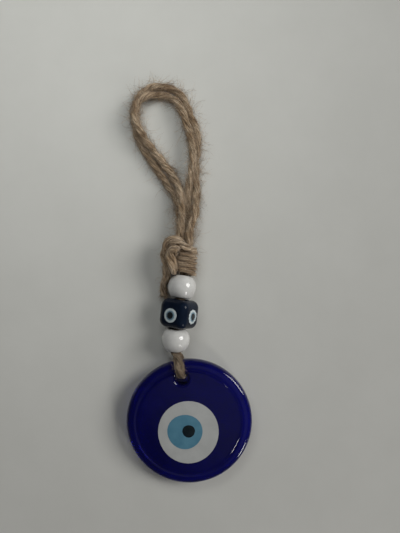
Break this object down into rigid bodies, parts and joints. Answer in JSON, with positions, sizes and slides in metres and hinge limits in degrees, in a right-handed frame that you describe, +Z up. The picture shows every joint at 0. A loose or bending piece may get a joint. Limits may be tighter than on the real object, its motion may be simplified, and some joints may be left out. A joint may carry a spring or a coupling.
{
  "type": "evil eye pendant",
  "caption": "Round cobalt glass eye pendant hung on doubled twine, with white beads, a square eye bead, a twine knot and a hanging loop.",
  "frame": {"origin": "on the floor that the pendant lies on, under the middle of the box round the disc, beads and knot", "axes": "+Y from the disc along the string of beads to the loop, +Z up from the floor through the face of the eye, +X to the right of the eye as seen from above"},
  "size_m": [0.04, 0.1287, 0.0116],
  "materials": {
    "cobalt_glass": "polished cast glass",
    "white_glass": "glossy opaque glass",
    "light_blue_glass": "glossy opaque glass",
    "black_glass": "glossy opaque glass",
    "white_bead": "glossy",
    "navy_glass": "glossy opaque glass",
    "bead_eye_white": "glossy opaque glass",
    "bead_eye_blue": "glossy opaque glass",
    "twine": "rough jute"
  },
  "bodies": {
    "root": {"glass_disc": "cobalt_glass", "eye_white": "white_glass", "eye_iris": "light_blue_glass", "eye_pupil": "black_glass", "lower_bead": "white_bead", "eye_bead": "navy_glass", "upper_bead": "white_bead", "bead_eye_white_1": "bead_eye_white", "bead_eye_white_2": "bead_eye_white", "bead_eye_white_3": "bead_eye_white", "bead_eye_white_4": "bead_eye_white", "bead_eye_iris_1": "bead_eye_blue", "bead_eye_iris_2": "bead_eye_blue", "bead_eye_iris_3": "bead_eye_blue", "bead_eye_iris_4": "bead_eye_blue", "bead_eye_pupil_1": "black_glass", "bead_eye_pupil_2": "black_glass", "bead_eye_pupil_3": "black_glass", "bead_eye_pupil_4": "black_glass", "bead_twine": "twine", "knot_wraps": "twine", "knot_tuck": "twine", "loop_twine_outer": "twine", "loop_twine_inner": "twine"}
  },
  "joints": []
}
